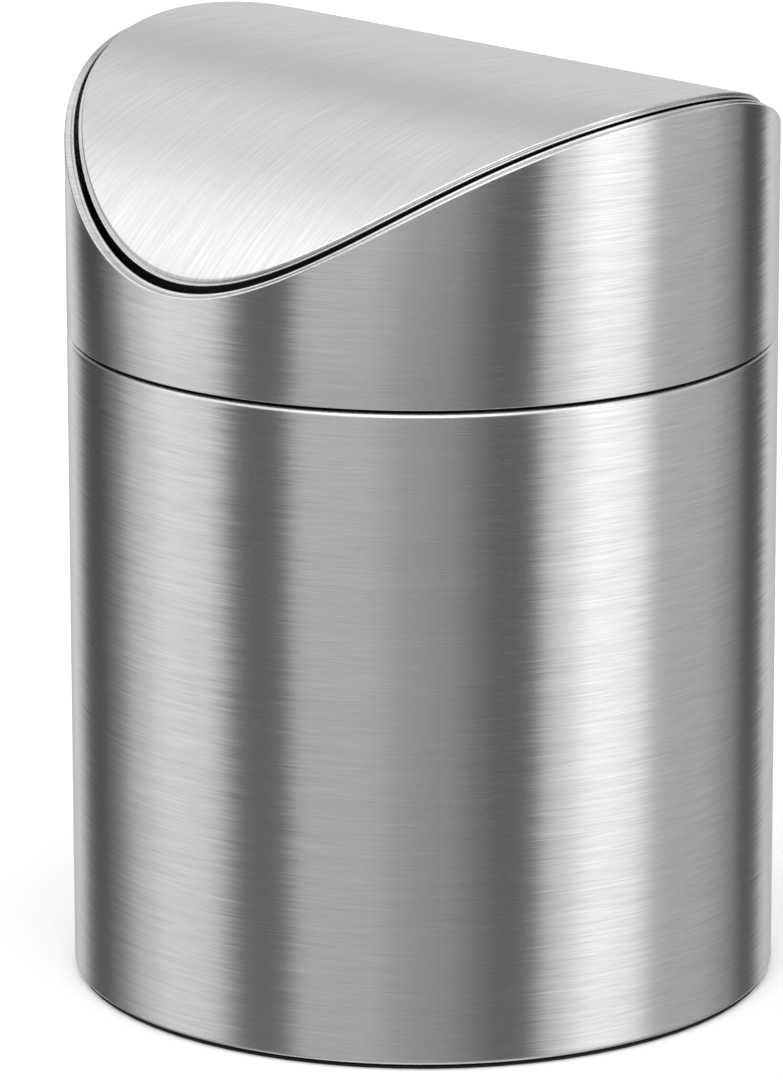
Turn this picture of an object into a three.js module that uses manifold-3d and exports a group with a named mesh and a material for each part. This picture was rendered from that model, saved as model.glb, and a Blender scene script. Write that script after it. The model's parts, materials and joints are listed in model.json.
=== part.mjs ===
// Countertop swing-top wastebasket: a round brushed-steel bin with a lift-off lid ring and a curved flap.
//
// Units are millimetres, +Z is up and the origin is the centre of the footprint.  The flap turns about a line
// parallel to X just under its ridge.  The rim of the lid is a saddle, high at +X and -X and low at -Y, the
// front, and at +Y, the back.  Seen along X, the rim and the flap both follow a bow that steepens at its ends.
//
// The bin comes apart into three groups:
//   body  body_shell, floor_pan, base_plate, foot_pad_*
//   lid   lid_skirt, lid_collar, pivot_bracket_*, pivot_bush_*, bracket_screw_*
//   flap  flap_skin, flap_liner, pivot_pin_*, pin_clip_*, counterweight_*, weight_screw_*

import * as THREE from 'three';
import Module from 'manifold-3d';
import { mergeVertices } from 'three/addons/utils/BufferGeometryUtils.js';

// ---------------------------------------------------------------- driving dimensions

const OUTER_RADIUS = 60;
const SHEET = 0.6; // gauge of every steel sheet
const GAP = 0.3; // clearance between pieces that sit against each other

const BODY_TOP = 111.7; // crest of the body's rolled mouth
const BODY_BOTTOM = 0.8; // lowest edge of the steel, just off the table
const BODY_CURL_RADIUS = 0.8; // turned-in bottom edge
const CURL_LIP = 0.5; // flat end of the curl
const MOUTH_ROLL_RADIUS = 0.8;
const MOUTH_HEM = 2.5; // straight length of the hem inside the mouth

const SKIRT_BOTTOM = 112.3;
const SKIRT_EDGE = 0.2; // rounding of the skirt's lower edge
const RIM_BEAD_RADIUS = 0.35;
const RIM_FILLET_RADIUS = 0.35; // outer shoulder beside the bead
const RIM_FILLET_DROP = 0.45; // the shoulder's top below the bead's crest
const RIM_HEM = 2.0;
const RIM_BEAD_PLAN_RADIUS = 58.6; // centre line of the bead

// A bow falls from its high line by square + fourth at its plan radius, in shares of those powers of y.
const RIM_BOW = { high: 158.0, square: 17.4, fourth: 12.65, planRadius: RIM_BEAD_PLAN_RADIUS };

const FLAP_PLAN_RADIUS = 57.1; // upper edge of the panel
const FLAP_BOW = { high: 159.05, square: 16.85, fourth: 12.2, planRadius: FLAP_PLAN_RADIUS };
const FLAP_EDGE_RADIUS = 0.25;
const FLAP_UNDERCUT = 0.12; // how far the flange leans in before its bead
const FLAP_BEAD_RADIUS = 0.2;
const FLAP_BEAD_REACH = 0.32; // the bead's centre outside the panel's edge
const FLAP_BEAD_DEPTH = 0.82; // and below it
const LINER_THICKNESS = 1.8;
const LINER_RIM_WIDTH = 1.6;
const LINER_RIM_DROP = 0.9; // the liner's rim below its own shell

const PIVOT_Z = 153.5;
const PIN_RADIUS = 1.25;
const BUSH_BORE_RADIUS = 1.55;
const BUSH_RADIUS = 2.55;
const BRACKET_INNER_X = 53.6;
const BRACKET_THICKNESS = 2.0;
const BRACKET_HEAD_RADIUS = 4.4;
const BRACKET_STEM_HALF = 3.5;
const BRACKET_FOOT_HALF = 8.5;

const ROUND_SEGMENTS = 64; // steps round the bin
const SMALL_SEGMENTS = 16;

// ---------------------------------------------------------------- materials

const material = (color, roughness, metalness) => (
  new THREE.MeshStandardMaterial({ color, roughness, metalness })
);
const steel = () => material(0xb4b5b6, 0.32, 1);
const plainSteel = () => material(0x9a9b9c, 0.4, 1);
const blackPlastic = () => material(0x17181a, 0.55, 0);
const paleNylon = () => material(0xd9d6cc, 0.45, 0);
const rubber = () => material(0x101011, 0.85, 0);

// ---------------------------------------------------------------- geometry helpers

const wasm = await Module();
wasm.setup();

// A closed mesh as a solid that can be cut and joined.
function toSolid(geometry) {
  const bare = new THREE.BufferGeometry();
  bare.setAttribute('position', geometry.getAttribute('position').clone());
  if (geometry.index) {
    bare.setIndex(geometry.index.clone());
  }
  const merged = mergeVertices(bare, 1e-4);
  const corners = merged.index.array;
  const kept = [];
  for (let i = 0; i < corners.length; i += 3) {
    const [a, b, c] = [corners[i], corners[i + 1], corners[i + 2]];
    if (a !== b && b !== c && c !== a) {
      kept.push(a, b, c);
    }
  }
  const vertProperties = Float32Array.from(merged.getAttribute('position').array);
  return new wasm.Manifold(new wasm.Mesh({ numProp: 3, vertProperties, triVerts: Uint32Array.from(kept) }));
}

function toGeometry(solid) {
  const mesh = solid.getMesh();
  const geometry = new THREE.BufferGeometry();
  geometry.setAttribute('position', new THREE.BufferAttribute(mesh.vertProperties, 3));
  geometry.setIndex(new THREE.BufferAttribute(mesh.triVerts, 1));
  geometry.computeVertexNormals();
  return geometry;
}

function combine(base, { add = [], cut = [] }) {
  let solid = toSolid(base);
  for (const geometry of add) {
    solid = solid.add(toSolid(geometry));
  }
  for (const geometry of cut) {
    solid = solid.subtract(toSolid(geometry));
  }
  return toGeometry(solid);
}

// Points of a circular arc in a profile, in [radius, height] pairs.
function arc(centreRadius, centreHeight, radius, fromDegrees, toDegrees, steps) {
  const points = [];
  for (let i = 0; i <= steps; i += 1) {
    const angle = THREE.MathUtils.degToRad(fromDegrees + ((toDegrees - fromDegrees) * i) / steps);
    points.push([centreRadius + radius * Math.cos(angle), centreHeight + radius * Math.sin(angle)]);
  }
  return points;
}

// Turns a profile about Z.  The profile runs anticlockwise: outward below, up the outside, inward above.
function turn(profile, segments) {
  const onAxis = profile[0][0] === 0;
  const outline = onAxis ? profile : [...profile, profile[0]];
  const points = outline.map(([radius, height]) => new THREE.Vector2(radius, height));
  return new THREE.LatheGeometry(points, segments).rotateX(Math.PI / 2);
}

function moveHeights(geometry, heightOf) {
  const position = geometry.getAttribute('position');
  for (let i = 0; i < position.count; i += 1) {
    position.setZ(i, heightOf(position.getX(i), position.getY(i), position.getZ(i)));
  }
  return geometry;
}

function boxAt(low, high) {
  const size = high.map((value, axis) => value - low[axis]);
  const centre = high.map((value, axis) => (value + low[axis]) / 2);
  return new THREE.BoxGeometry(...size).translate(...centre);
}

// A round bar along X between two stations, centred on the given y and z.
function barAlongX(radius, fromX, toX, y, z, segments = SMALL_SEGMENTS) {
  const bar = new THREE.CylinderGeometry(radius, radius, Math.abs(toX - fromX), segments);
  return bar.rotateZ(Math.PI / 2).translate((fromX + toX) / 2, y, z);
}

// A turned piece whose own axis runs along +X or -X; heights in the profile count outward from x = 0.
function turnAlongX(profile, side, segments = SMALL_SEGMENTS) {
  return turn(profile, segments).rotateY((side * Math.PI) / 2);
}

const parts = new THREE.Group();

function place(name, geometry, finish) {
  const mesh = new THREE.Mesh(geometry, finish);
  mesh.name = name;
  parts.add(mesh);
}

const SIDES = [['left', -1], ['right', 1]];
const ENDS = [['front', -1], ['back', 1]];

// ---------------------------------------------------------------- body

const wallInner = OUTER_RADIUS - SHEET;

function bodyShell() {
  const curlRadius = OUTER_RADIUS - BODY_CURL_RADIUS;
  const curlZ = BODY_BOTTOM + BODY_CURL_RADIUS;
  const rollRadius = OUTER_RADIUS - MOUTH_ROLL_RADIUS;
  const rollZ = BODY_TOP - MOUTH_ROLL_RADIUS;
  const lipEnd = curlRadius - CURL_LIP;
  const hemZ = rollZ - MOUTH_HEM;
  const hemOuter = rollRadius - MOUTH_ROLL_RADIUS + SHEET;
  return turn([
    [lipEnd, BODY_BOTTOM],
    ...arc(curlRadius, curlZ, BODY_CURL_RADIUS, -90, 0, 3),
    ...arc(rollRadius, rollZ, MOUTH_ROLL_RADIUS, 0, 180, 6),
    [rollRadius - MOUTH_ROLL_RADIUS, hemZ],
    [hemOuter, hemZ],
    ...arc(rollRadius, rollZ, MOUTH_ROLL_RADIUS - SHEET, 180, 0, 4),
    ...arc(curlRadius, curlZ, BODY_CURL_RADIUS - SHEET, 0, -90, 2),
    [lipEnd, BODY_BOTTOM + SHEET],
  ], ROUND_SEGMENTS);
}

const plateOuter = wallInner - GAP;
const plateTop = 3.2;
const plateNeck = OUTER_RADIUS - BODY_CURL_RADIUS - CURL_LIP - GAP;
const footInner = 53.6;
const footOuter = 59.3;
const footBottom = 0.15;
const footTop = BODY_BOTTOM - GAP;
const grooveInner = 54.6;
const grooveOuter = 57.2;
const grooveTop = 1.5;
const footTaper = 0.6; // slope of the foot ring's inner side
const plateChamfer = { across: 0.2, up: 0.5 };

// Black disc pressed into the bottom of the shell: a foot ring under the curl, with a groove for the pads,
// and a neck that passes through the curl to the disc.
function basePlate() {
  const curlInside = BODY_BOTTOM + SHEET + GAP;
  return turn([
    [0, grooveTop],
    [footInner - footTaper, grooveTop],
    [footInner, footBottom],
    [grooveInner, footBottom],
    [grooveInner, grooveTop],
    [grooveOuter, grooveTop],
    [grooveOuter, footBottom],
    [footOuter, footBottom],
    [footOuter, footTop],
    [plateNeck, footTop],
    [plateNeck, curlInside],
    [plateOuter - plateChamfer.across, curlInside],
    [plateOuter, curlInside + plateChamfer.up],
    [plateOuter, plateTop],
    [0, plateTop],
  ], ROUND_SEGMENTS);
}

// Pressed bottom that lies on the plate: a raised centre panel and a short turned-up edge against the wall.
function floorPan() {
  const seat = plateTop + GAP;
  const panelRadius = 40;
  const panelRise = 0.6;
  const panelSlope = 2;
  const edgeHeight = 2.6;
  return turn([
    [0, seat + panelRise],
    [panelRadius, seat + panelRise],
    [panelRadius + panelSlope, seat],
    [plateOuter, seat],
    [plateOuter, seat + edgeHeight],
    [plateOuter - SHEET, seat + edgeHeight],
    [plateOuter - SHEET, seat + SHEET],
    [panelRadius + panelSlope, seat + SHEET],
    [panelRadius, seat + SHEET + panelRise],
    [0, seat + SHEET + panelRise],
  ], ROUND_SEGMENTS);
}

const footPadHalfDegrees = 25;

function footPad(centreDegrees) {
  const halfAngle = THREE.MathUtils.degToRad(footPadHalfDegrees);
  const centre = THREE.MathUtils.degToRad(centreDegrees);
  const shape = new THREE.Shape();
  shape.absarc(0, 0, grooveOuter - GAP, centre - halfAngle, centre + halfAngle, false);
  shape.absarc(0, 0, grooveInner + GAP, centre + halfAngle, centre - halfAngle, true);
  return new THREE.ExtrudeGeometry(shape, { depth: grooveTop - GAP, bevelEnabled: false, curveSegments: 8 });
}

place('body_shell', bodyShell(), steel());
place('base_plate', basePlate(), blackPlastic());
place('floor_pan', floorPan(), plainSteel());
for (let i = 0; i < 4; i += 1) {
  place(`foot_pad_${i + 1}`, footPad(45 + 90 * i), rubber());
}

// ---------------------------------------------------------------- lid

// Height of a bow at a distance y from its high line.
function bowHeight(bow, y) {
  const share = y / bow.planRadius;
  return bow.high - bow.square * share ** 2 - bow.fourth * share ** 4;
}

function bowSlope(bow, y) {
  const share = y / bow.planRadius;
  return (2 * bow.square * share + 4 * bow.fourth * share ** 3) / bow.planRadius;
}

// Height of the bead's crest in the direction of a point: the saddle.
function rimHeight(x, y) {
  return bowHeight(RIM_BOW, (RIM_BEAD_PLAN_RADIUS * y) / Math.hypot(x, y));
}

const rimLow = rimHeight(0, 1);

function lidSkirt() {
  const beadZ = rimLow - RIM_BEAD_RADIUS;
  const filletRadius = OUTER_RADIUS - RIM_FILLET_RADIUS;
  const filletZ = rimLow - RIM_FILLET_DROP - RIM_FILLET_RADIUS;
  const rise = (filletZ + RIM_FILLET_RADIUS - beadZ) / RIM_BEAD_RADIUS;
  const crease = THREE.MathUtils.radToDeg(Math.asin(rise));
  const hemInner = RIM_BEAD_PLAN_RADIUS - RIM_BEAD_RADIUS;
  const foldZ = filletZ + RIM_FILLET_RADIUS - SHEET;
  const ring = turn([
    [wallInner, SKIRT_BOTTOM],
    [OUTER_RADIUS - SKIRT_EDGE, SKIRT_BOTTOM],
    [OUTER_RADIUS, SKIRT_BOTTOM + SKIRT_EDGE],
    ...arc(filletRadius, filletZ, RIM_FILLET_RADIUS, 0, 90, 2),
    ...arc(RIM_BEAD_PLAN_RADIUS, beadZ, RIM_BEAD_RADIUS, crease, 180, 4),
    [hemInner, beadZ - RIM_HEM],
    [hemInner + SHEET, beadZ - RIM_HEM],
    [hemInner + SHEET, foldZ],
    [wallInner, foldZ],
  ], ROUND_SEGMENTS);
  return moveHeights(ring, (x, y, z) => (z > SKIRT_BOTTOM + SKIRT_EDGE ? z + rimHeight(x, y) - rimLow : z));
}

const collarWallInner = 56.9;
const collarTop = 123;
const plugInner = 55.2;
const plugBottom = 103;
const plugChamfer = { across: 0.7, up: 1.5 }; // lead-in at the foot of the plug
const bossFaceX = BRACKET_INNER_X + BRACKET_THICKNESS + GAP;
const footLowZ = 114.7;
const footHighZ = 122.7;
const screwZ = (footLowZ + footHighZ) / 2;
const screwY = 5;
const screwShank = 0.9;
const screwHole = screwShank + GAP;

// Black plug ring: its lower wall sits in the body's mouth, its shoulder on the mouth's roll, and its upper
// wall holds the skirt.  Flat bosses at both sides take the pivot brackets.
function lidCollar() {
  const mouthInner = OUTER_RADIUS - 2 * MOUTH_ROLL_RADIUS;
  const plugOuter = mouthInner - 2 * GAP;
  const shoulder = BODY_TOP + GAP;
  const ring = turn([
    [plugInner, plugBottom],
    [plugOuter - plugChamfer.across, plugBottom],
    [plugOuter, plugBottom + plugChamfer.up],
    [plugOuter, shoulder],
    [wallInner - GAP, shoulder],
    [wallInner - GAP, collarTop],
    [collarWallInner, collarTop],
    [collarWallInner, shoulder + 2],
    [plugInner, shoulder + 1],
  ], ROUND_SEGMENTS);
  const bosses = [];
  const holes = [];
  for (const [, side] of SIDES) {
    const [near, far] = [side * bossFaceX, side * (collarWallInner + 1)].sort((a, b) => a - b);
    bosses.push(boxAt([near, -BRACKET_FOOT_HALF, footLowZ], [far, BRACKET_FOOT_HALF, footHighZ]));
    for (const y of [-screwY, screwY]) {
      holes.push(barAlongX(screwHole, side * (bossFaceX - 2), side * OUTER_RADIUS, y, screwZ));
    }
  }
  return combine(ring, { add: bosses, cut: holes });
}

const bracketRibDepth = 1.4;
const bracketRibHalf = 0.8;

// Upright arm with a round eye for the bush and a wide foot with two screw holes, drawn in the Y-Z plane.
function pivotBracket(side) {
  const outline = new THREE.Shape();
  const eyeAngle = Math.acos(BRACKET_STEM_HALF / BRACKET_HEAD_RADIUS);
  const shoulderZ = footHighZ + 5;
  outline.moveTo(-BRACKET_FOOT_HALF, footLowZ);
  outline.lineTo(BRACKET_FOOT_HALF, footLowZ);
  outline.lineTo(BRACKET_FOOT_HALF, footHighZ);
  outline.lineTo(BRACKET_STEM_HALF, shoulderZ);
  outline.absarc(0, PIVOT_Z, BRACKET_HEAD_RADIUS, -eyeAngle, Math.PI + eyeAngle, false);
  outline.lineTo(-BRACKET_STEM_HALF, shoulderZ);
  outline.lineTo(-BRACKET_FOOT_HALF, footHighZ);
  outline.closePath();
  const eye = new THREE.Path();
  eye.absarc(0, PIVOT_Z, BUSH_RADIUS + GAP, 0, 2 * Math.PI, true);
  outline.holes.push(eye);
  for (const y of [-screwY, screwY]) {
    const hole = new THREE.Path();
    hole.absarc(y, screwZ, screwHole, 0, 2 * Math.PI, true);
    outline.holes.push(hole);
  }
  const plate = new THREE.ExtrudeGeometry(outline, {
    depth: BRACKET_THICKNESS,
    bevelEnabled: false,
    curveSegments: 10,
  });
  // The drawing's (y, z) plane stands up across X, with its thickness growing towards +X.
  plate.rotateX(Math.PI / 2).rotateZ(Math.PI / 2);
  const plateX = side > 0 ? BRACKET_INNER_X : -BRACKET_INNER_X - BRACKET_THICKNESS;
  plate.translate(plateX, 0, 0);
  const ribOuter = side * (BRACKET_INNER_X + BRACKET_THICKNESS + bracketRibDepth);
  const ribInner = side * (BRACKET_INNER_X + BRACKET_THICKNESS / 2);
  const [low, high] = [ribInner, ribOuter].sort((a, b) => a - b);
  const rib = boxAt(
    [low, -bracketRibHalf, footHighZ + bracketRibDepth],
    [high, bracketRibHalf, PIVOT_Z - BRACKET_HEAD_RADIUS],
  );
  return combine(plate, { add: [rib] });
}

const bushFlangeRadius = 3.4;
const bushFlangeThickness = 0.8;
const bushFlangeX = BRACKET_INNER_X - GAP - bushFlangeThickness;
const bushEndX = BRACKET_INNER_X + BRACKET_THICKNESS + GAP;

function pivotBush(side) {
  const bush = turnAlongX([
    [BUSH_BORE_RADIUS, bushFlangeX],
    [bushFlangeRadius, bushFlangeX],
    [bushFlangeRadius, BRACKET_INNER_X - GAP],
    [BUSH_RADIUS, BRACKET_INNER_X - GAP],
    [BUSH_RADIUS, bushEndX],
    [BUSH_BORE_RADIUS, bushEndX],
  ], side, 24);
  return bush.translate(0, 0, PIVOT_Z);
}

// Round-headed screw pointing along its own -Z, head uppermost, with a cross recess.
function crossScrew(headRadius, headHeight, shankRadius, length) {
  const body = turn([
    [0, -length],
    [shankRadius, -length],
    [shankRadius, 0],
    [headRadius, 0],
    [headRadius, headHeight * 0.45],
    [headRadius * 0.62, headHeight],
    [0, headHeight],
  ], 12);
  const reach = headRadius * 0.6;
  const blade = headRadius * 0.14;
  const floor = headHeight * 0.35;
  const slots = [[reach, blade], [blade, reach]];
  const recess = slots.map(([x, y]) => boxAt([-x, -y, floor], [x, y, headHeight + 1]));
  return combine(body, { cut: recess });
}

function bracketScrew(side, y) {
  const screw = crossScrew(1.9, 1.3, screwShank, 5);
  screw.rotateY((-side * Math.PI) / 2);
  return screw.translate(side * (BRACKET_INNER_X - GAP), y, screwZ);
}

place('lid_skirt', lidSkirt(), steel());
place('lid_collar', lidCollar(), blackPlastic());
for (const [sideName, side] of SIDES) {
  place(`pivot_bracket_${sideName}`, pivotBracket(side), blackPlastic());
  place(`pivot_bush_${sideName}`, pivotBush(side), paleNylon());
  for (const [endName, end] of ENDS) {
    place(`bracket_screw_${sideName}_${endName}`, bracketScrew(side, end * screwY), plainSteel());
  }
}

// ---------------------------------------------------------------- flap

// Radii of the rings of points that carry the panel's curve.
const panelRings = [12, 21, 28, 34, 39, 43, 47, 50, 52.5, 54.7];

// Height of a face that lies a given depth, square to the bow, under the flap's upper face.
function flapHeight(depth, y) {
  return bowHeight(FLAP_BOW, y) - depth * Math.hypot(1, bowSlope(FLAP_BOW, y));
}

const flangeInner = FLAP_PLAN_RADIUS - SHEET;

// Lays a flat disc, drawn with depths below z = 0, over the flap's bow.  Down to shellDepth the sheet keeps
// its thickness square to the curve, and what hangs below that is upright, like the whole of the flange.
function layOverBow(geometry, shellDepth) {
  return moveHeights(geometry, (x, y, z) => {
    const radius = Math.max(1, Math.hypot(x, y));
    const edgeY = y * Math.min(1, FLAP_PLAN_RADIUS / radius);
    const curved = radius < flangeInner - 0.1 ? Math.min(-z, shellDepth) : 0;
    return flapHeight(curved, edgeY) - (-z - curved);
  });
}

const ringsAt = (z) => panelRings.map((radius) => [radius, z]);

// Curved panel whose edge turns down into an upright flange that ends in an outward bead.
function flapSkin() {
  const edgeCentre = FLAP_PLAN_RADIUS - FLAP_EDGE_RADIUS;
  const beadRadius = FLAP_PLAN_RADIUS + FLAP_BEAD_REACH;
  const disc = turn([
    [0, -SHEET],
    ...ringsAt(-SHEET),
    [flangeInner, -SHEET],
    [flangeInner, -FLAP_BEAD_DEPTH - FLAP_BEAD_RADIUS],
    ...arc(beadRadius, -FLAP_BEAD_DEPTH, FLAP_BEAD_RADIUS, -90, 120, 4),
    [FLAP_PLAN_RADIUS - FLAP_UNDERCUT, -FLAP_BEAD_DEPTH + FLAP_BEAD_RADIUS],
    ...arc(edgeCentre, -FLAP_EDGE_RADIUS, FLAP_EDGE_RADIUS, 0, 90, 2),
    ...ringsAt(0).reverse(),
    [0, 0],
  ], ROUND_SEGMENTS);
  return layOverBow(disc, SHEET);
}

const linerTop = SHEET + GAP;
const linerBottom = linerTop + LINER_THICKNESS;
const linerPlanRadius = flangeInner - GAP;

const bossInnerX = 42;
const bossOuterX = bushFlangeX - GAP;
const bossRadius = 3.2;
const notchHalf = 10;
const notchX = 51.8;
const ribX = 14;
const ribHalf = 0.7;
const ribReach = 12;
const ribDepth = 4;
const bite = 0.4; // how far an added block reaches into the shell it joins

const weightLength = 48;
const weightWidth = 9;
const weightThickness = 4;
const weightY = 44;
const weightSeat = 2.5; // depth of the pad between the liner's underside and the weight
const weightScrewX = 18;
const weightHoleRadius = 1.2;
const weightHoleDepth = 3.6;
const weightTilt = Math.atan(bowSlope(FLAP_BOW, weightY));

// Sets a piece, drawn with z = 0 on the liner's underside, square to the curve at the front or back weight.
function swingToWeight(geometry, end) {
  return geometry.rotateX(-end * weightTilt).translate(0, end * weightY, flapHeight(linerBottom, weightY));
}

function weightHole(depth) {
  return new THREE.CylinderGeometry(weightHoleRadius, weightHoleRadius, depth, 12).rotateX(Math.PI / 2);
}

// Black moulding under the skin: a curved shell with a rim, a boss for each pivot pin, two pads for the
// counterweights and stiffening ribs; notches at the ends let the pivot brackets stand inside it.
function flapLiner() {
  const shell = layOverBow(turn([
    [0, -linerBottom],
    ...ringsAt(-linerBottom),
    [linerPlanRadius - LINER_RIM_WIDTH, -linerBottom],
    [linerPlanRadius - LINER_RIM_WIDTH, -linerBottom - LINER_RIM_DROP],
    [linerPlanRadius, -linerBottom - LINER_RIM_DROP],
    [linerPlanRadius, -linerTop],
    ...ringsAt(-linerTop).reverse(),
    [0, -linerTop],
  ], ROUND_SEGMENTS), linerBottom);
  const shellUndersideZ = flapHeight(linerBottom, 0);
  const notches = SIDES.map(([, side]) => {
    const [low, high] = [side * notchX, side * OUTER_RADIUS].sort((a, b) => a - b);
    return boxAt([low, -notchHalf, PIVOT_Z - 10], [high, notchHalf, PIVOT_Z + 10]);
  });
  const extras = [];
  const holes = [];
  for (const [, side] of SIDES) {
    const [low, high] = [side * bossInnerX, side * notchX].sort((a, b) => a - b);
    extras.push(barAlongX(bossRadius, side * bossInnerX, side * bossOuterX, 0, PIVOT_Z, 24));
    extras.push(boxAt([low, -bossRadius, PIVOT_Z], [high, bossRadius, shellUndersideZ + bite]));
    holes.push(barAlongX(BUSH_BORE_RADIUS, side * (bossInnerX - 2), side * OUTER_RADIUS, 0, PIVOT_Z, 24));
  }
  for (const [, end] of ENDS) {
    const halfLength = weightLength / 2;
    const halfWidth = weightWidth / 2;
    const pad = boxAt([-halfLength, -halfWidth, -weightSeat], [halfLength, halfWidth, bite]);
    extras.push(swingToWeight(pad, end));
    for (const x of [-weightScrewX, weightScrewX]) {
      const hole = weightHole(weightHoleDepth).translate(x, 0, weightHoleDepth / 3 - weightSeat);
      holes.push(swingToWeight(hole, end));
    }
  }
  for (const x of [-ribX, ribX]) {
    const ribBottom = shellUndersideZ - ribDepth;
    const ribTop = shellUndersideZ + bite;
    extras.push(boxAt([x - ribHalf, -ribReach, ribBottom], [x + ribHalf, ribReach, ribTop]));
  }
  const notched = combine(shell, { cut: notches });
  return combine(notched, { add: extras, cut: holes });
}

const pinHeadX = bushEndX + GAP;
const pinHeadRadius = 2.2;
const pinHeadThickness = 0.8;
const pinEndX = bossInnerX - 1.9;
const pinGrooveRadius = PIN_RADIUS - 0.35;
const clipThickness = 0.6;
const clipPlay = 0.15; // between the clip and its groove
const clipX = bossInnerX - GAP - clipThickness;

function pivotPin(side) {
  const pin = turnAlongX([
    [0, pinEndX],
    [PIN_RADIUS, pinEndX],
    [PIN_RADIUS, clipX - clipPlay],
    [pinGrooveRadius, clipX - clipPlay],
    [pinGrooveRadius, clipX + clipThickness + clipPlay],
    [PIN_RADIUS, clipX + clipThickness + clipPlay],
    [PIN_RADIUS, pinHeadX],
    [pinHeadRadius, pinHeadX],
    [pinHeadRadius, pinHeadX + pinHeadThickness],
    [0, pinHeadX + pinHeadThickness],
  ], side);
  return pin.translate(0, 0, PIVOT_Z);
}

// Open spring clip in the pin's groove, drawn in the Y-Z plane with its mouth downward.
function pinClip(side) {
  const inner = pinGrooveRadius + 0.2;
  const outer = 2.4;
  const mouth = THREE.MathUtils.degToRad(35);
  const start = -Math.PI / 2 + mouth;
  const finish = (3 * Math.PI) / 2 - mouth;
  const shape = new THREE.Shape();
  shape.absarc(0, 0, outer, start, finish, false);
  shape.absarc(0, 0, inner, finish, start, true);
  const clip = new THREE.ExtrudeGeometry(shape, {
    depth: clipThickness,
    bevelEnabled: false,
    curveSegments: 12,
  });
  clip.rotateX(Math.PI / 2).rotateZ(Math.PI / 2);
  return clip.translate(side > 0 ? clipX : -clipX - clipThickness, 0, PIVOT_Z);
}

function counterweight(end) {
  const face = -weightSeat - GAP;
  const [halfLength, halfWidth] = [weightLength / 2, weightWidth / 2];
  const bar = boxAt([-halfLength, -halfWidth, face - weightThickness], [halfLength, halfWidth, face]);
  const holes = [-weightScrewX, weightScrewX].map((x) => (
    weightHole(weightThickness + 2).translate(x, 0, face - weightThickness / 2)
  ));
  return swingToWeight(combine(bar, { cut: holes }), end);
}

function weightScrew(side, end) {
  const screw = crossScrew(2.1, 1.3, 0.9, weightThickness + 2.4);
  const seat = -weightSeat - weightThickness - 2 * GAP;
  screw.rotateX(Math.PI).translate(side * weightScrewX, 0, seat);
  return swingToWeight(screw, end);
}

place('flap_skin', flapSkin(), steel());
place('flap_liner', flapLiner(), blackPlastic());
for (const [sideName, side] of SIDES) {
  place(`pivot_pin_${sideName}`, pivotPin(side), plainSteel());
  place(`pin_clip_${sideName}`, pinClip(side), plainSteel());
}
for (const [endName, end] of ENDS) {
  place(`counterweight_${endName}`, counterweight(end), plainSteel());
  for (const [sideName, side] of SIDES) {
    place(`weight_screw_${endName}_${sideName}`, weightScrew(side, end), plainSteel());
  }
}

export default parts;
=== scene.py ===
"""Looks for the countertop swing-top wastebasket: finely turned steel sheets, brushed-steel and plastic
materials, a pale floor and a soft studio round it.  Metres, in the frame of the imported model."""

import json
import math

import bpy
from mathutils import Matrix, Vector


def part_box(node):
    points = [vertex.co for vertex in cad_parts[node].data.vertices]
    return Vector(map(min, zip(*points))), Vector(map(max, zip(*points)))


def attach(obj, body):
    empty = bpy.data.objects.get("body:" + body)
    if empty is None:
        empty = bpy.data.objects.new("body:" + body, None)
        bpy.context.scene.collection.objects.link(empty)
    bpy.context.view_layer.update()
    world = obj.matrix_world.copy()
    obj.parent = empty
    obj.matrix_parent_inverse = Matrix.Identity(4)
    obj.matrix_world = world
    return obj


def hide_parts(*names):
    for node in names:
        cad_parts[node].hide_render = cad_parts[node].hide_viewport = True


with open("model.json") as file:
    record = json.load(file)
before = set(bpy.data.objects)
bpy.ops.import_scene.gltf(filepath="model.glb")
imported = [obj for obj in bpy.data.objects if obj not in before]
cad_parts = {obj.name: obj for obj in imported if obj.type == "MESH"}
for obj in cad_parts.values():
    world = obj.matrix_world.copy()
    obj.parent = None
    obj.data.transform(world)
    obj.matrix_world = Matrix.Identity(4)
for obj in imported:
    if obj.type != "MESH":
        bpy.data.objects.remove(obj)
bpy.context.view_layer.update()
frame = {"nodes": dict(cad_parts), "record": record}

MM = 0.001

# ---------------------------------------------------------------- sizes, from the frame where it holds them

SHEET = 0.6 * MM
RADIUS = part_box("body_shell")[1][0]
BODY_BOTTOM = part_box("body_shell")[0][2]
BODY_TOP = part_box("body_shell")[1][2]
SKIRT_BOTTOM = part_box("lid_skirt")[0][2]

BODY_CURL_RADIUS = 0.8 * MM
CURL_LIP = 0.5 * MM
MOUTH_ROLL_RADIUS = 0.8 * MM
MOUTH_HEM = 2.5 * MM
SKIRT_EDGE = 0.2 * MM
RIM_BEAD_RADIUS = 0.35 * MM
RIM_FILLET_RADIUS = 0.35 * MM
RIM_FILLET_DROP = 0.45 * MM
RIM_HEM = 2.0 * MM
RIM_BEAD_PLAN_RADIUS = 58.6 * MM
FLAP_PLAN_RADIUS = 57.1 * MM
FLAP_EDGE_RADIUS = 0.25 * MM
FLAP_UNDERCUT = 0.12 * MM
FLAP_BEAD_RADIUS = 0.2 * MM
FLAP_BEAD_REACH = 0.32 * MM
FLAP_BEAD_DEPTH = 0.82 * MM

# A bow falls from its high line by its square and fourth terms at its plan radius, in shares of those powers.
RIM_BOW = (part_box("lid_skirt")[1][2], 17.4 * MM, 12.65 * MM, RIM_BEAD_PLAN_RADIUS)
FLAP_BOW = (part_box("flap_skin")[1][2], 16.85 * MM, 12.2 * MM, FLAP_PLAN_RADIUS)

ROUND = 288  # steps round the bin in the fine meshes
PANEL_RINGS = 40  # rings from the middle of the flap's panel to its edge
SHARP_ANGLE = math.radians(35)

# ---------------------------------------------------------------- mesh helpers


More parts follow.
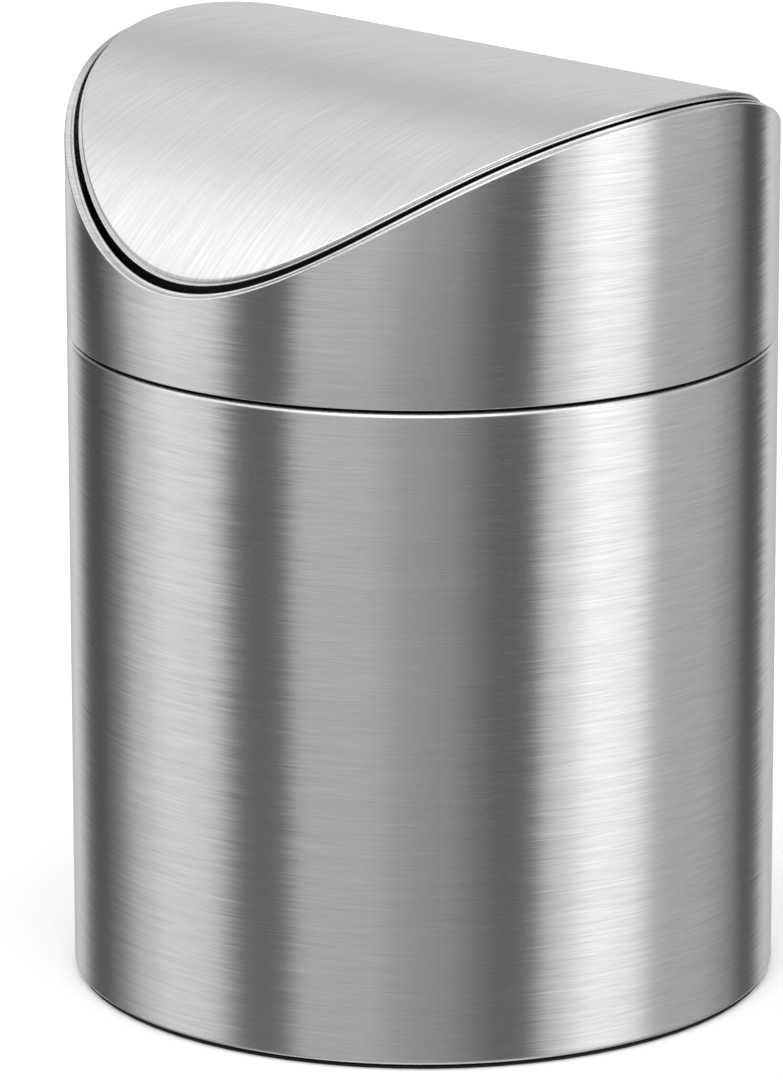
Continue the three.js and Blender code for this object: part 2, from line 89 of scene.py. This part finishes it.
def arc(centre_radius, centre_height, radius, start, finish, steps):
    """Points of a circular arc in a profile, angles in degrees."""
    points = []
    for i in range(steps + 1):
        angle = math.radians(start + (finish - start) * i / steps)
        points.append((centre_radius + radius * math.cos(angle), centre_height + radius * math.sin(angle)))
    return points


def make_object(name, vertices, faces):
    mesh = bpy.data.meshes.new(name)
    mesh.from_pydata(vertices, [], faces)
    mesh.validate()
    mesh.shade_smooth()
    mesh.set_sharp_from_angle(angle=SHARP_ANGLE)
    piece = bpy.data.objects.new(name, mesh)
    bpy.context.scene.collection.objects.link(piece)
    return piece


def turned(name, profile, height_of=None):
    """A closed profile turned about Z.  It runs anticlockwise: outward below, up the outside, inward above.
    A profile that starts on the axis also ends there.  height_of(x, y, z) may move each point's height."""
    on_axis = profile[0][0] < 1e-9
    ring_points = profile[1:-1] if on_axis else profile
    vertices = []
    for i in range(ROUND):
        angle = 2 * math.pi * i / ROUND
        for radius, height in ring_points:
            vertices.append((radius * math.cos(angle), radius * math.sin(angle), height))
    count = len(ring_points)
    faces = []
    for i in range(ROUND):
        here, there = i * count, ((i + 1) % ROUND) * count
        for j in range(count - 1 if on_axis else count):
            k = (j + 1) % count
            faces.append((here + j, there + j, there + k, here + k))
    if on_axis:
        low, high = len(vertices), len(vertices) + 1
        vertices += [(0, 0, profile[0][1]), (0, 0, profile[-1][1])]
        for i in range(ROUND):
            here, there = i * count, ((i + 1) % ROUND) * count
            faces.append((low, there, here))
            faces.append((high, here + count - 1, there + count - 1))
    if height_of:
        vertices = [(x, y, height_of(x, y, z)) for x, y, z in vertices]
    return make_object(name, vertices, faces)


# ---------------------------------------------------------------- node helpers


class Nodes:
    """A material's or world's node tree with short calls for the nodes used here."""

    def __init__(self, owner):
        owner.use_nodes = True
        self.tree = owner.node_tree
        self.tree.nodes.clear()

    def add(self, kind, inputs=None, **settings):
        node = self.tree.nodes.new(kind)
        for key, value in settings.items():
            setattr(node, key, value)
        for key, value in (inputs or {}).items():
            self.feed(node.inputs[key], value)
        return node

    def feed(self, socket, value):
        if isinstance(value, bpy.types.NodeSocket):
            self.tree.links.new(value, socket)
        else:
            socket.default_value = value

    def math(self, operation, *values):
        return self.add("ShaderNodeMath", dict(enumerate(values)), operation=operation).outputs[0]

    def vector(self, operation, *values, output=0):
        node = self.add("ShaderNodeVectorMath", operation=operation)
        slots = [s for s in node.inputs if s.enabled]
        for socket, value in zip(slots, values):
            self.feed(socket, value)
        return node.outputs[output]

    def scale(self, vector, factor):
        return self.add("ShaderNodeVectorMath", {0: vector, "Scale": factor}, operation="SCALE").outputs[0]

    def remap(self, value, low, high, to_low, to_high):
        inputs = {"Value": value, "From Min": low, "From Max": high, "To Min": to_low, "To Max": to_high}
        return self.add("ShaderNodeMapRange", inputs, clamp=True).outputs[0]

    def ramp(self, value, stops):
        node = self.add("ShaderNodeValToRGB", {"Fac": value})
        elements = node.color_ramp.elements
        node.color_ramp.interpolation = "EASE"
        for i, (place, level) in enumerate(stops):
            element = elements[i] if i < 2 else elements.new(place)
            element.position = place
            element.color = (level, level, level, 1)
        return node.outputs["Color"]

    def noise(self, vector, scale, detail=2.0, roughness=0.5):
        inputs = {"Vector": vector, "Scale": scale, "Detail": detail, "Roughness": roughness}
        return self.add("ShaderNodeTexNoise", inputs, noise_dimensions="3D").outputs["Fac"]

    def mix(self, factor, first, second):
        node = self.add("ShaderNodeMix", data_type="RGBA")
        slots = [s for s in node.inputs if s.enabled]
        for socket, value in zip(slots, (factor, first, second)):
            self.feed(socket, value)
        return [s for s in node.outputs if s.enabled][0]


def grey(level):
    return (level, level, level, 1.0)


# ---------------------------------------------------------------- materials


GRAIN_TIP = 0.07  # sideways tip of a grain line, as the tangent of its angle
ROUGH_LOW, ROUGH_HIGH = 0.23, 0.29


def brushed_steel(name, across, tangent_axis, skew=0.0):
    """Steel brushed in one direction.  across is the index of the axis that the grain lines run square to,
    tangent_axis the axis that the grain circles round, and skew the angle in degrees, seen from above, that
    the grain is turned by."""
    material = bpy.data.materials.new(name)
    nodes = Nodes(material)
    place = nodes.add("ShaderNodeTexCoord").outputs["Object"]
    spin = (0, 0, math.radians(skew))
    skewed = nodes.add("ShaderNodeMapping", {"Vector": place, "Rotation": spin}).outputs[0]

    def streaks(length, width, detail, roughness, shift=0.0):
        scale = [1 / length, 1 / length, 1 / length]
        scale[across] = 1 / width
        mapping = nodes.add("ShaderNodeMapping", {"Vector": skewed, "Location": (shift,) * 3})
        mapping.inputs["Scale"].default_value = scale
        return nodes.noise(mapping.outputs[0], 1.0, detail, roughness)

    fine = streaks(6 * MM, 0.15 * MM, 3.0, 0.65)
    medium = streaks(16 * MM, 0.4 * MM, 2.0, 0.6, 3.1)
    broad = streaks(60 * MM, 2.5 * MM, 1.0, 0.5, 7.7)
    grain = nodes.math("ADD", nodes.math("MULTIPLY", fine, 0.55), nodes.math("MULTIPLY", medium, 0.45))

    tone = nodes.remap(grain, 0.3, 0.7, 0.84, 1.12)
    tone = nodes.math("MULTIPLY", tone, nodes.remap(broad, 0.3, 0.7, 0.985, 1.015))
    colour = nodes.scale((0.62, 0.62, 0.622), tone)

    # Each grain line tips the surface a little to one side, which feathers the edges of reflections.
    tip = nodes.math("SUBTRACT", streaks(22 * MM, 0.22 * MM, 2.0, 0.6, 11.3), 0.5)
    tangent = nodes.add("ShaderNodeTangent", direction_type="RADIAL", axis=tangent_axis).outputs[0]
    normal = nodes.add("ShaderNodeNewGeometry").outputs["Normal"]
    sideways = nodes.scale(tangent, nodes.math("MULTIPLY", tip, GRAIN_TIP))
    tipped = nodes.vector("NORMALIZE", nodes.vector("ADD", normal, sideways))
    bump = nodes.add("ShaderNodeBump", {
        "Strength": 0.25,
        "Distance": 0.01 * MM,
        "Height": grain,
        "Normal": tipped,
    })

    shader = nodes.add("ShaderNodeBsdfPrincipled", {
        "Base Color": colour,
        "Metallic": 1.0,
        "Roughness": nodes.remap(grain, 0.3, 0.7, ROUGH_HIGH, ROUGH_LOW),
        "Anisotropic": 0.95,
        "Anisotropic Rotation": 0.25 - skew / 360,
        "Tangent": tangent,
        "Normal": bump.outputs[0],
    })
    nodes.add("ShaderNodeOutputMaterial", {"Surface": shader.outputs[0]})
    return material


def moulded(name, colour, roughness, specular=0.5):
    """Moulded plastic or rubber: a fine sandblasted grain with slightly uneven gloss."""
    material = bpy.data.materials.new(name)
    nodes = Nodes(material)
    place = nodes.add("ShaderNodeTexCoord").outputs["Object"]
    grain = nodes.noise(place, 1 / (0.35 * MM), 3.0, 0.6)
    cloud = nodes.noise(place, 60.0, 2.0, 0.5)
    bump = nodes.add("ShaderNodeBump", {"Strength": 0.4, "Distance": 0.02 * MM, "Height": grain})
    dark = tuple(c * 0.8 for c in colour[:3]) + (1.0,)
    shader = nodes.add("ShaderNodeBsdfPrincipled", {
        "Base Color": nodes.mix(cloud, dark, colour),
        "Roughness": nodes.remap(cloud, 0.3, 0.7, roughness - 0.06, roughness + 0.06),
        "Specular IOR Level": specular,
        "Normal": bump.outputs[0],
    })
    nodes.add("ShaderNodeOutputMaterial", {"Surface": shader.outputs[0]})
    return material


def plated(name, level, roughness):
    """Plain sheet, bar or plated hardware: faint mottling and fine scratches."""
    material = bpy.data.materials.new(name)
    nodes = Nodes(material)
    place = nodes.add("ShaderNodeTexCoord").outputs["Object"]
    cloud = nodes.noise(place, 120.0, 4.0, 0.6)
    scratch = nodes.noise(place, 2500.0, 2.0, 0.7)
    bump = nodes.add("ShaderNodeBump", {"Strength": 0.2, "Distance": 0.01 * MM, "Height": scratch})
    shader = nodes.add("ShaderNodeBsdfPrincipled", {
        "Base Color": nodes.mix(cloud, grey(level * 0.85), grey(level)),
        "Metallic": 1.0,
        "Roughness": nodes.remap(cloud, 0.3, 0.7, roughness - 0.05, roughness + 0.08),
        "Normal": bump.outputs[0],
    })
    nodes.add("ShaderNodeOutputMaterial", {"Surface": shader.outputs[0]})
    return material


round_steel = brushed_steel("steel_brushed_round", 2, "Z")
flap_steel = brushed_steel("steel_brushed_flap", 0, "X", 18.0)
black_plastic = moulded("black_plastic", (0.006, 0.006, 0.0065, 1.0), 0.55, specular=0.25)
rubber = moulded("black_rubber", (0.01, 0.01, 0.01, 1.0), 0.8)
nylon = moulded("pale_nylon", (0.72, 0.7, 0.64, 1.0), 0.4)
plain_steel = plated("plain_steel", 0.5, 0.35)
bright_steel = plated("bright_steel", 0.56, 0.28)

SLOT_MATERIALS = {
    "brushed_steel": round_steel,
    "plain_steel": plain_steel,
    "bright_steel": bright_steel,
    "black_plastic": black_plastic,
    "nylon": nylon,
    "rubber": rubber,
}

for subpart in frame["record"]["subparts"]:
    node = frame["nodes"][subpart["node"]]
    node.data.materials.clear()
    node.data.materials.append(SLOT_MATERIALS[subpart["material_slot"]])


# ---------------------------------------------------------------- steel sheets


def finish_piece(piece, material, body, node):
    piece.data.materials.append(material)
    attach(piece, body)
    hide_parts(node)


def body_shell():
    curl = RADIUS - BODY_CURL_RADIUS
    curl_z = BODY_BOTTOM + BODY_CURL_RADIUS
    roll = RADIUS - MOUTH_ROLL_RADIUS
    roll_z = BODY_TOP - MOUTH_ROLL_RADIUS
    lip = curl - CURL_LIP
    hem_z = roll_z - MOUTH_HEM
    profile = [(lip, BODY_BOTTOM)]
    profile += arc(curl, curl_z, BODY_CURL_RADIUS, -90, 0, 10)
    profile += arc(roll, roll_z, MOUTH_ROLL_RADIUS, 0, 180, 24)
    profile += [(roll - MOUTH_ROLL_RADIUS, hem_z), (roll - MOUTH_ROLL_RADIUS + SHEET, hem_z)]
    profile += arc(roll, roll_z, MOUTH_ROLL_RADIUS - SHEET, 180, 0, 12)
    profile += arc(curl, curl_z, BODY_CURL_RADIUS - SHEET, 0, -90, 4)
    profile += [(lip, BODY_BOTTOM + SHEET)]
    return turned("body_shell_fine", profile)


def bow_height(bow, y):
    """Height of a bow at a distance y from its high line."""
    high, square, fourth, plan_radius = bow
    share = y / plan_radius
    return high - square * share ** 2 - fourth * share ** 4


def bow_slope(bow, y):
    square, fourth, plan_radius = bow[1:]
    share = y / plan_radius
    return (2 * square * share + 4 * fourth * share ** 3) / plan_radius


def crest(x, y):
    """Height of the rim's bead in the direction of a point: the saddle."""
    return bow_height(RIM_BOW, RIM_BEAD_PLAN_RADIUS * y / math.hypot(x, y))


RIM_LOW = crest(0, 1)
SKIRT_MIDDLE = (SKIRT_BOTTOM + RIM_LOW) / 2


def on_saddle(x, y, z):
    """Lifts the upper half of the skirt's profile by the rim's saddle."""
    return z if z < SKIRT_MIDDLE else z + crest(x, y) - RIM_LOW


def lid_skirt():
    bead_z = RIM_LOW - RIM_BEAD_RADIUS
    fillet = RADIUS - RIM_FILLET_RADIUS
    fillet_z = RIM_LOW - RIM_FILLET_DROP - RIM_FILLET_RADIUS
    crease = math.degrees(math.asin((fillet_z + RIM_FILLET_RADIUS - bead_z) / RIM_BEAD_RADIUS))
    hem = RIM_BEAD_PLAN_RADIUS - RIM_BEAD_RADIUS
    profile = [(RADIUS - SHEET, SKIRT_BOTTOM)]
    profile += arc(RADIUS - SKIRT_EDGE, SKIRT_BOTTOM + SKIRT_EDGE, SKIRT_EDGE, -90, 0, 6)
    profile += arc(fillet, fillet_z, RIM_FILLET_RADIUS, 0, 90, 8)
    profile += arc(RIM_BEAD_PLAN_RADIUS, bead_z, RIM_BEAD_RADIUS, crease, 180, 16)
    profile += [(hem, bead_z - RIM_HEM), (hem + SHEET, bead_z - RIM_HEM)]
    fold_z = fillet_z + RIM_FILLET_RADIUS - SHEET
    profile += [(hem + SHEET, fold_z), (RADIUS - SHEET, fold_z)]
    return turned("lid_skirt_fine", profile, height_of=on_saddle)


FLANGE_INNER = FLAP_PLAN_RADIUS - SHEET


def over_bow(x, y, z):
    """Lays a flat disc over the flap's bow.  The sheet keeps its thickness square to the curve, up to the
    flange, which is upright and takes its height from the panel's edge."""
    radius = max(1 * MM, math.hypot(x, y))
    edge_y = y * min(1, FLAP_PLAN_RADIUS / radius)
    curved = min(-z, SHEET) if radius < FLANGE_INNER - 0.1 * MM else 0
    square_z = bow_height(FLAP_BOW, edge_y) - curved * math.hypot(1, bow_slope(FLAP_BOW, edge_y))
    return square_z - (-z - curved)


def flap_skin():
    """The panel, whose edge turns down into an upright flange that ends in an outward bead."""
    bead = FLAP_PLAN_RADIUS + FLAP_BEAD_REACH
    edge = FLAP_PLAN_RADIUS - FLAP_EDGE_RADIUS
    rings = [edge * math.sin(math.pi / 2 * i / PANEL_RINGS) for i in range(1, PANEL_RINGS)]
    profile = [(0, -SHEET)] + [(r, -SHEET) for r in rings if r < FLANGE_INNER - 0.5 * MM]
    profile += [(FLANGE_INNER, -SHEET), (FLANGE_INNER, -FLAP_BEAD_DEPTH - FLAP_BEAD_RADIUS)]
    profile += arc(bead, -FLAP_BEAD_DEPTH, FLAP_BEAD_RADIUS, -90, 120, 14)
    profile += [(FLAP_PLAN_RADIUS - FLAP_UNDERCUT, -FLAP_BEAD_DEPTH + FLAP_BEAD_RADIUS)]
    profile += arc(edge, -FLAP_EDGE_RADIUS, FLAP_EDGE_RADIUS, 0, 90, 8)
    profile += [(r, 0) for r in reversed(rings)] + [(0, 0)]
    return turned("flap_skin_fine", profile, height_of=over_bow)


finish_piece(body_shell(), round_steel, "bin_body", "body_shell")
finish_piece(lid_skirt(), round_steel, "lid", "lid_skirt")
finish_piece(flap_skin(), flap_steel, "flap", "flap_skin")


# ---------------------------------------------------------------- floor, studio and camera


FLOOR_HALF = 20.0


def make_floor():
    corners = [(x * FLOOR_HALF, y * FLOOR_HALF, 0) for x, y in ((-1, -1), (1, -1), (1, 1), (-1, 1))]
    floor = make_object("floor", corners, [(0, 1, 2, 3)])
    material = bpy.data.materials.new("pale_floor")
    nodes = Nodes(material)
    place = nodes.add("ShaderNodeTexCoord").outputs["Object"]
    tone = nodes.remap(nodes.noise(place, 40.0, 3.0), 0.3, 0.7, 0.985, 1.0)
    colour = nodes.mix(tone, grey(0.86), grey(0.9))
    shader = nodes.add("ShaderNodeBsdfPrincipled", {
        "Base Color": colour,
        "Roughness": 0.9,
        "Specular IOR Level": 0.1,
    })
    nodes.add("ShaderNodeOutputMaterial", {"Surface": shader.outputs[0]})
    floor.data.materials.append(material)
    floor.visible_glossy = False
    floor.visible_shadow = False


# The camera stands this far round from the front, towards +X.
CAMERA_AZIMUTH = math.radians(43.95)
CAMERA_DISTANCE = 1.2344  # from the bin's axis, level
CAMERA_HEIGHT = 0.4111
CAMERA_PITCH, CAMERA_YAW, CAMERA_ROLL = (math.radians(degrees) for degrees in (15.256, -0.246, -0.105))
CAMERA_LENS = 250.7

# The studio's ring of tall soft boxes and black flags, as the azimuth in degrees where each level is reached,
# counted from the camera towards its right, and the level.
RING = [
    (-180, 0.38), (-166, 0.60), (-155, 0.95), (-148, 0.62), (-140, 0.07), (-127, 0.07), (-116, 0.30),
    (-106, 0.82), (-90, 1.18), (-74, 1.06), (-60, 0.06), (-47, 0.05), (-40, 0.66), (-22, 0.60),
    (0, 0.32), (9, 0.25), (17, 0.10), (23, 0.0), (34, 0.01), (43, 0.98), (58, 1.75),
    (71, 1.6), (83, 0.68), (104, 0.62), (120, 0.38), (128, 0.07), (141, 0.07), (148, 0.85),
    (166, 0.60), (180, 0.38),
]

# Long soft boxes overhead, parallel to the hinge line, as the angle in degrees from straight up towards the
# front (-Y) where each level is reached, and the level.
OVERHEAD = [
    (-130, 0.30), (-104, 0.40), (-95, 0.50), (-86, 0.68), (-79, 0.87), (-73, 1.03), (-67, 1.14),
    (-60, 1.08), (-52, 0.60), (-42, 0.42), (-36, 0.62), (-28, 1.04), (-17, 1.26), (-9, 1.0),
    (-2, 0.90), (10, 1.04), (22, 1.5), (32, 1.75), (130, 1.75),
]
OVERHEAD_END = 130  # degrees from straight up where the overhead boxes end

# A ramp holds levels up to 1, so the levels are kept divided by the studio's strength.
STUDIO_STRENGTH = 2.0
TABLE_EDGE_LEVEL = 0.35  # the far part of the pale table, just below the horizon
TABLE_LEVEL = 1.1  # the table seen steeply from above


def make_world():
    world = bpy.data.worlds.new("studio")
    bpy.context.scene.world = world
    nodes = Nodes(world)
    direction = nodes.add("ShaderNodeTexCoord").outputs["Generated"]
    to_camera = (math.sin(CAMERA_AZIMUTH), -math.cos(CAMERA_AZIMUTH), 0)
    to_right = (math.cos(CAMERA_AZIMUTH), math.sin(CAMERA_AZIMUTH), 0)
    forward = nodes.vector("DOT_PRODUCT", direction, to_camera, output="Value")
    sideways = nodes.vector("DOT_PRODUCT", direction, to_right, output="Value")
    azimuth = nodes.math("ARCTAN2", sideways, forward)
    turn = nodes.math("MULTIPLY_ADD", azimuth, 1 / (2 * math.pi), 0.5)
    ring = nodes.ramp(turn, [((degrees + 180) / 360, level / STUDIO_STRENGTH) for degrees, level in RING])
    parts = nodes.add("ShaderNodeSeparateXYZ", {0: direction}).outputs
    elevation = nodes.math("MULTIPLY", nodes.math("ARCSINE", parts["Z"]), 180 / math.pi)

    # Below the horizon the ring fades into the glow of the pale table.
    fade = nodes.remap(elevation, -14.0, -42.0, 0.0, 0.8)
    low = nodes.mix(fade, ring, grey(TABLE_EDGE_LEVEL / STUDIO_STRENGTH))
    steep = nodes.remap(elevation, -55.0, -75.0, 0.0, 1.0)
    low = nodes.mix(steep, low, grey(TABLE_LEVEL / STUDIO_STRENGTH))

    front = nodes.math("ARCTAN2", nodes.math("MULTIPLY", parts["Y"], -1.0), parts["Z"])
    span = 2 * OVERHEAD_END
    place = nodes.math("MULTIPLY_ADD", front, 180 / math.pi / span, 0.5)
    stops = [((degrees + OVERHEAD_END) / span, level / STUDIO_STRENGTH) for degrees, level in OVERHEAD]
    above = nodes.ramp(place, stops)

    # The overhead boxes are stronger on the side that the flap doesn't mirror to the camera, for the table.
    above = nodes.scale(above, nodes.remap(parts["X"], -0.3, 0.3, 1.0, 1.7))

    # Behind the bin the overhead boxes reach down almost to the horizon; elsewhere they end well above it.
    behind = nodes.remap(forward, -0.85, -0.97, 0.0, 27.0)
    share = nodes.remap(nodes.math("ADD", elevation, behind), 20.0, 34.0, 0.0, 1.0)
    level = nodes.mix(share, low, above)
    studio = nodes.add("ShaderNodeBackground", {"Color": level, "Strength": STUDIO_STRENGTH})
    pale = nodes.add("ShaderNodeBackground", {"Color": grey(1.0), "Strength": 1.0})
    seen = nodes.add("ShaderNodeLightPath").outputs["Is Camera Ray"]
    both = nodes.add("ShaderNodeMixShader", {0: seen, 1: studio.outputs[0], 2: pale.outputs[0]})
    nodes.add("ShaderNodeOutputWorld", {"Surface": both.outputs[0]})


def make_camera():
    flat = math.cos(CAMERA_PITCH)
    forward = Vector((math.sin(CAMERA_YAW) * flat, math.cos(CAMERA_YAW) * flat, -math.sin(CAMERA_PITCH)))
    level_right = Vector((math.cos(CAMERA_YAW), -math.sin(CAMERA_YAW), 0))
    level_up = level_right.cross(forward)
    right = math.cos(CAMERA_ROLL) * level_right + math.sin(CAMERA_ROLL) * level_up
    up = math.cos(CAMERA_ROLL) * level_up - math.sin(CAMERA_ROLL) * level_right
    facing = Matrix((right, up, -forward)).transposed().to_4x4()
    round_z = Matrix.Rotation(CAMERA_AZIMUTH, 4, "Z")
    camera = bpy.data.objects.new("camera", bpy.data.cameras.new("camera"))
    camera.data.lens = CAMERA_LENS
    camera.data.sensor_width = 36
    camera.matrix_world = round_z @ Matrix.Translation((0, -CAMERA_DISTANCE, CAMERA_HEIGHT)) @ facing
    bpy.context.scene.collection.objects.link(camera)
    bpy.context.scene.camera = camera


make_floor()
make_world()
make_camera()
bpy.context.scene.view_settings.view_transform = "Standard"
